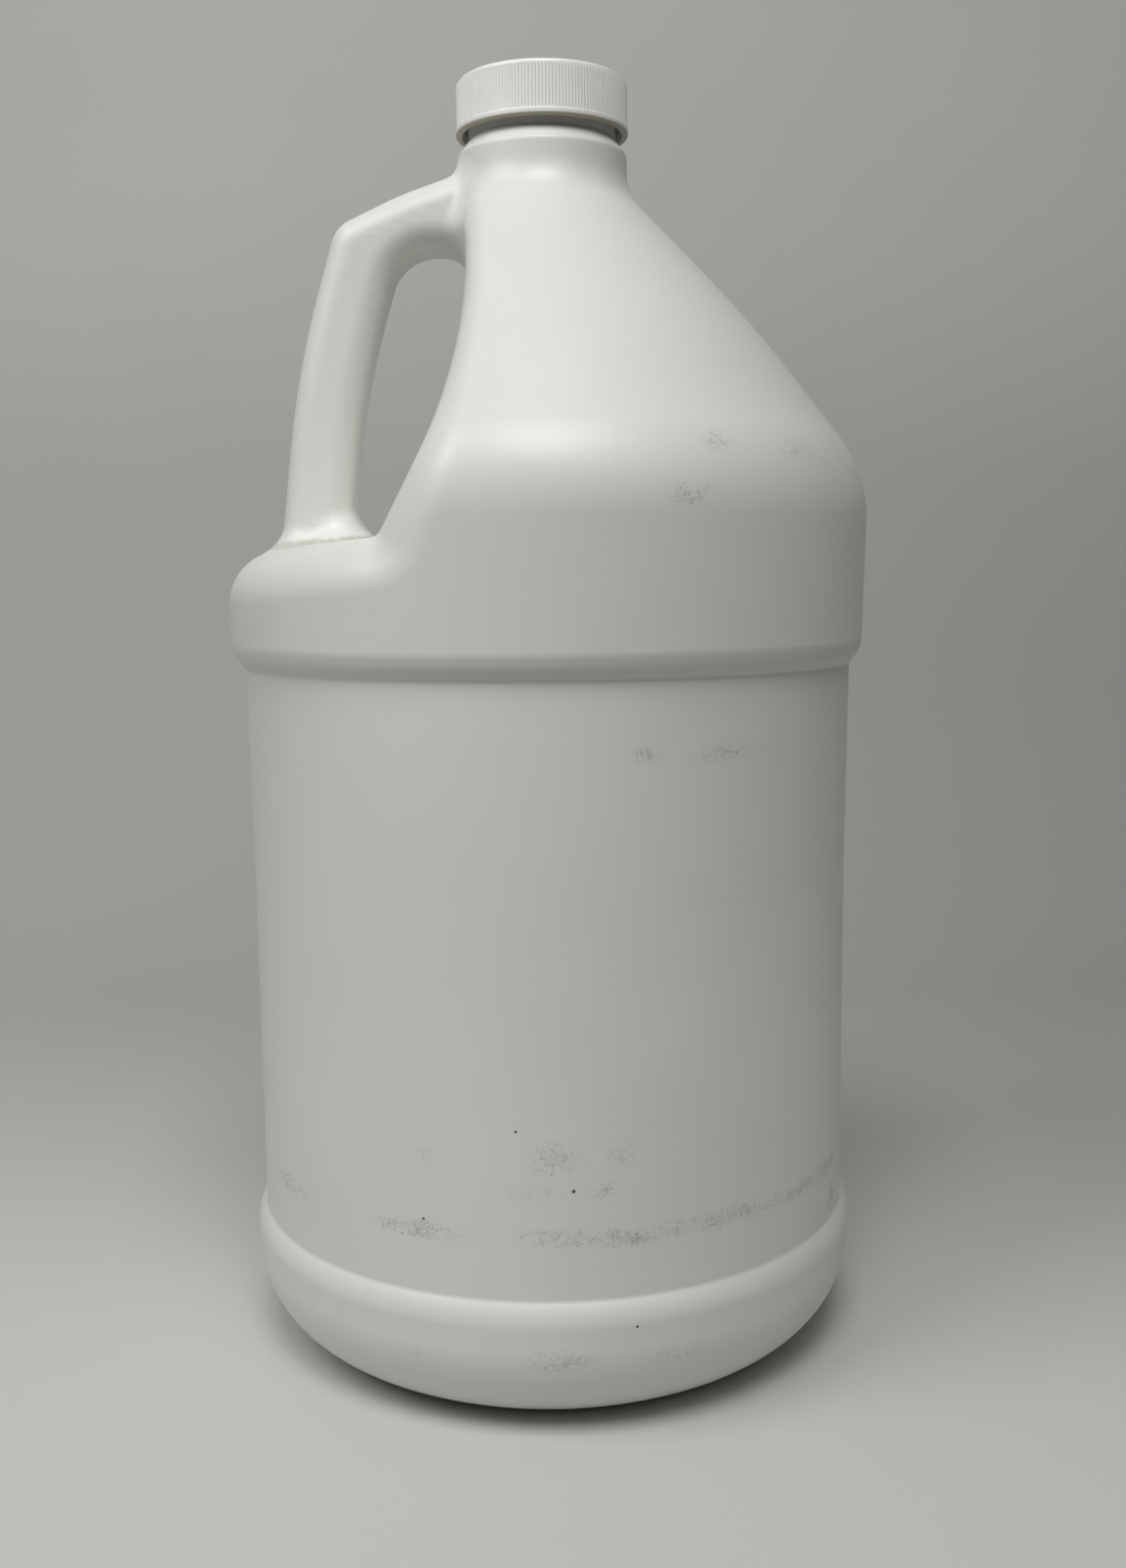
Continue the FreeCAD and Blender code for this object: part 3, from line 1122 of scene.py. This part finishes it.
# %% The ridge tree
def thread_tree():
    nodes, given = geometry_tree("thread_ridge", thread_sizes)
    spiral_inputs = {
        "Resolution": given["Steps"],
        "Rotations": given["Turns"],
        "Start Radius": given["Wall Radius"],
        "End Radius": given["Wall Radius"],
        "Height": given["Rise"],
    }
    spiral = nodes.add("GeometryNodeCurveSpiral", {}, spiral_inputs)
    upright = nodes.add("GeometryNodeSetCurveNormal", {"mode": "Z_UP"}, {0: spiral})
    along = nodes.add("GeometryNodeSplineParameter")
    fade = (given["Fade"] * -0.2, given["Fade"])
    scale = along.between(*fade) * (1 - along).between(*fade)
    corners = {}
    for name, radial, width, side in (
        ("Point 1", 0 - given["Sunk"], "Half Foot", -1),
        ("Point 2", given["Depth"], "Half Crest", -1),
        ("Point 3", given["Depth"], "Half Crest", 1),
        ("Point 4", 0 - given["Sunk"], "Half Foot", 1),
    ):
        values = {"X": radial * given["Outward"], "Y": given[width] * given["Outward"] * side}
        corners[name] = nodes.add("ShaderNodeCombineXYZ", {}, values)
    section = nodes.add("GeometryNodeCurvePrimitiveQuadrilateral", {"mode": "POINTS"}, corners)
    sweep_inputs = {"Curve": upright, "Profile Curve": section, "Fill Caps": True, "Scale": scale}
    ridge = nodes.add("GeometryNodeCurveToMesh", {}, sweep_inputs)
    shift = nodes.add("ShaderNodeCombineXYZ", {}, {"Z": given["Start Height"]})
    turn = nodes.add("ShaderNodeCombineXYZ", {}, {"Z": given["Start Angle"]})
    moved = nodes.add("GeometryNodeTransform", {}, {0: ridge, "Translation": shift, "Rotation": turn})
    finish_tree(nodes, moved, given)
    return nodes


def thread_ridge(name, body, material, changes):
    sizes = {**thread_sizes, **changes}
    ridge = made_real(name, bpy.data.meshes.new(name + "_start"), ridge_nodes, sizes, material)
    ridge.data.shade_smooth()
    ridge.data.set_sharp_from_angle(angle=math.radians(sharp_angle))
    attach(ridge, body)
    return ridge


ridge_nodes = thread_tree()
cap_changes = {
    "Wall Radius": cap_bore_radius * MM,
    "Outward": -1.0,
    "Start Height": cap_thread_start * MM,
    "Start Angle": math.radians(cap_thread_turn),
}
neck_thread = thread_ridge("neck_thread", "jug", jug_material, {})
cap_thread = thread_ridge("cap_thread", "cap", cap_material, cap_changes)
print("thread faces:", len(neck_thread.data.polygons), len(cap_thread.data.polygons))

# %% [markdown]
# ## The cap
#
# The cap is moulded in a glossier plastic. Its core, spun from its own outline, is a cup with a
# plain band at the lower edge. Fine upright ribs give wet fingers a grip. They repeat, so
# Geometry Nodes set one on each point of a circle.

# %% Sizes of the cap
ceiling_gap = 0.1
cap_ceiling = liner_high.z + ceiling_gap
core_top_radius = 19.95
core_low_radius = 20.1
band_radius = 20.45
band_height = 1.5
plain_edge = 1.1
rib_count = 164
rib_radius = 0.27
rib_sunk = 0.02
rib_sides = 8
inner_edge = 0.3
band_edge = 0.6
band_top_edge = 0.25
band_step = 0.1
cap_top_edge = 1.0
print("cap from", round(cap_bottom, 2), "to", round(cap_top, 2), "mm")


# %% Spin the cap's core
lathe_step = 3


def lathe(name, outline, sides):
    """A mesh turned from an outline that starts and ends on the axis."""
    path = outline.sampled(lathe_step)
    turned = Skin(np.arange(sides) * 2 * math.pi / sides)
    rings = turned.rings(path[1:-1], profile_slopes(outline, path[1:-1]))
    turned.close_start(path[0][1], rings[0])
    turned.link(rings)
    turned.close_end(rings[-1], path[-1][1])
    return turned.mesh(name)


cap_core = Outline(
    [
        (0, cap_ceiling, 0),
        (cap_bore_radius, cap_ceiling, inner_edge),
        (cap_bore_radius, cap_bottom, inner_edge),
        (band_radius, cap_bottom, band_edge),
        (band_radius, cap_bottom + band_height, band_top_edge),
        (core_low_radius, cap_bottom + band_height + band_step, band_step),
        (core_top_radius, cap_top, cap_top_edge),
        (0, cap_top, 0),
    ]
)
cap_core_mesh = lathe("cap_core", cap_core, rib_count)
print("core faces:", len(cap_core_mesh.polygons))

# %% Stand the ribs round it
rib_sizes = {
    "Rib Count": rib_count,
    "Ring Radius": (core_top_radius + rib_sunk) * MM,
    "Rib Radius": rib_radius * MM,
    "Rib Height": (cap_top - plain_edge - cap_bottom - band_height) * MM,
    "Foot Height": (cap_bottom + band_height) * MM,
}


def rib_tree():
    nodes, given = geometry_tree("cap_ribs", rib_sizes)
    circle_inputs = {"Vertices": given["Rib Count"], "Radius": given["Ring Radius"]}
    circle = nodes.add("GeometryNodeMeshCircle", {}, circle_inputs)
    middle = given["Foot Height"] + given["Rib Height"] * 0.5
    lift = nodes.add("ShaderNodeCombineXYZ", {}, {"Z": middle})
    raised = nodes.add("GeometryNodeSetPosition", {}, {0: circle, "Offset": lift})
    rod = {"Vertices": rib_sides, "Radius": given["Rib Radius"], "Depth": given["Rib Height"]}
    rib = nodes.add("GeometryNodeMeshCylinder", {}, {**rod, "Side Segments": 1})
    ribs = nodes.add("GeometryNodeInstanceOnPoints", {}, {"Points": raised, "Instance": rib})
    both = nodes.add("GeometryNodeJoinGeometry", {}, {0: [ribs, given["Geometry"]]})
    finish_tree(nodes, both, given)
    return nodes


cap = made_real("cap_ribbed", cap_core_mesh, rib_tree(), rib_sizes, cap_material)
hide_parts("cap")
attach(cap, "cap")
print("cap faces:", len(cap.data.polygons))

# %% [markdown]
# ## The liner
#
# A foam disc seals the mouth. A plain cylinder would do, but the rim has pressed a shallow ring
# into the foam. So the disc is turned from an outline, as the cap's core is.

# %% Turn the liner
liner_sides = 96
liner_gap = 0.25
liner_radius = cap_bore_radius - liner_gap
liner_edge = 0.2
rim_print = 0.12
print_edge = 0.1
liner_outline = Outline(
    [
        (0, liner_low.z, 0),
        (bore_radius - print_edge, liner_low.z, print_edge),
        (bore_radius + print_edge, liner_low.z + rim_print, print_edge),
        (finish_radius - print_edge, liner_low.z + rim_print, print_edge),
        (finish_radius + print_edge, liner_low.z, print_edge),
        (liner_radius, liner_low.z, liner_edge),
        (liner_radius, liner_high.z, liner_edge),
        (0, liner_high.z, 0),
    ]
)
liner = placed("liner_disc", lathe("liner_disc", liner_outline, liner_sides))
liner.data.materials.append(foam_material)
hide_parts("cap_liner")
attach(liner, "liner")
print("liner faces:", len(liner.data.polygons))

# %% [markdown]
# ## Floor, backdrop and light
#
# The jug stands on a pale sweep: a floor that curves up into a backdrop. The main soft lamp hangs
# in front and above, so that the shoulder is bright and the upright panel is half as bright. A
# second one high on the left lights the handle's side, and a weak one fills in on the right.
#
# A pale floor in front would light the panel from below and flatten it. So its front end is pale
# only to rays that look at it or mirror it, and dark to rays that carry light on. The room too
# looks pale all round but lights the jug very little.

# %% The sweep's shape
# metres
sweep_front = -1.6
sweep_back = 0.55
sweep_height = 1.6
sweep_bend = 0.25
sweep_side = 1.8
sweep_steps = 16


def sweep_mesh():
    path = [(sweep_front, 0.0)]
    for k in range(sweep_steps + 1):
        angle = math.pi / 2 * k / sweep_steps
        back = sweep_back - sweep_bend * (1 - math.sin(angle))
        path.append((back, sweep_bend * (1 - math.cos(angle))))
    path.append((sweep_back, sweep_height))
    points = [(side, y, z) for y, z in path for side in (-sweep_side, sweep_side)]
    faces = [(2 * k, 2 * k + 1, 2 * k + 3, 2 * k + 2) for k in range(len(path) - 1)]
    mesh = bpy.data.meshes.new("sweep")
    mesh.from_pydata(points, [], faces)
    mesh.shade_smooth()
    return mesh


sweep = placed("sweep", sweep_mesh())
print("sweep faces:", len(sweep.data.polygons))

# %% The sweep's paper
paper_pale = (0.61, 0.61, 0.585, 1)
paper_cloud = (0.59, 0.59, 0.57, 1)
paper_bend_shade = (0.43, 0.43, 0.415, 1)
paper_dark = (0.16, 0.16, 0.155, 1)
paper_cloud_scale = 4
paper_grain_scale = 600
paper_relief = 0.02 * MM
# metres over which the painted shade in the bend and the dark front end fade, from and to
bend_depths = (-0.05, 0.3)
bend_heights = (0.1, 0.42)
bend_sides = (-0.3, 0.3)
front_depths = (-0.4, -0.2)


def looked_at(nodes):
    """1 for rays that show a surface or reflect it, 0 for rays that carry its light on."""
    kind = nodes.add("ShaderNodeLightPath")
    return kind.larger(kind.other("Is Glossy Ray")).larger(kind.other("Is Transmission Ray"))


def sweep_paper():
    """Pale paper with painted shade where it bends up, darker to the right; its front end looks pale
    but casts little light back.
    """
    material, nodes = material_nodes("sweep_paper")
    where = own_place(nodes)
    x, y, z = split(nodes, where)
    cloudy = noise(nodes, where, paper_cloud_scale, 3).between(0.3, 0.7)
    paper = mixed(nodes, cloudy, paper_pale, paper_cloud)
    # painted shade on the sweep where it bends up into the backdrop, darker to the right
    bend = y.between(*bend_depths) * (1 - z.between(*bend_heights) * 0.95)
    shade = bend * (0.55 + x.between(*bend_sides) * 0.4)
    paper = mixed(nodes, shade, paper, paper_bend_shade)
    front_end = (1 - y.between(*front_depths)) * (1 - looked_at(nodes))
    paper = mixed(nodes, front_end, paper, paper_dark)
    grain = noise(nodes, where, paper_grain_scale, 2)
    surface(nodes, paper, 0.7 + cloudy * 0.05, bumped(nodes, grain, paper_relief))
    return material


sweep.data.materials.append(sweep_paper())
print("paper nodes:", len(sweep.data.materials[0].node_tree.nodes))


# %% Lamps and world
lamp_target = Vector((0, 0, 0.15))
lamps = [
    # name, degrees from the front (positive to the right) and up, metres away and across, watts
    ("main_softbox", 0, 58, 1.0, 0.45, 5.5),
    ("left_softbox", -58, 45, 1.0, 0.5, 3.9),
    ("right_softbox", 30, 45, 1.1, 0.5, 0.8),
]
room_seen = 0.3
room_light = 0.02


def soft_lamp(name, azimuth, elevation, distance, size, watts):
    """A square lamp that faces the jug."""
    data = bpy.data.lights.new(name, "AREA")
    data.shape = "SQUARE"
    data.size = size
    data.energy = watts
    lamp = placed(name, data)
    turn, rise = math.radians(azimuth), math.radians(elevation)
    away = Vector((math.sin(turn) * math.cos(rise), -math.cos(turn) * math.cos(rise), math.sin(rise)))
    lamp.location = lamp_target + away * distance
    lamp.rotation_mode = "QUATERNION"
    lamp.rotation_quaternion = away.to_track_quat("Z", "Y")


for lamp_sizes in lamps:
    soft_lamp(*lamp_sizes)

world = bpy.data.worlds.new("room")
world.use_nodes = True
world.node_tree.nodes.clear()
world_nodes = Nodes(world.node_tree)
room_inputs = {"Color": (1, 1, 0.99, 1), "Strength": looked_at(world_nodes) * room_seen + room_light}
background = world_nodes.add("ShaderNodeBackground", {}, room_inputs)
world_nodes.add("ShaderNodeOutputWorld", {}, {"Surface": background})
bpy.context.scene.world = world
bpy.context.scene.view_settings.view_transform = "Standard"
print("lamps:", [light.name for light in bpy.data.lights])
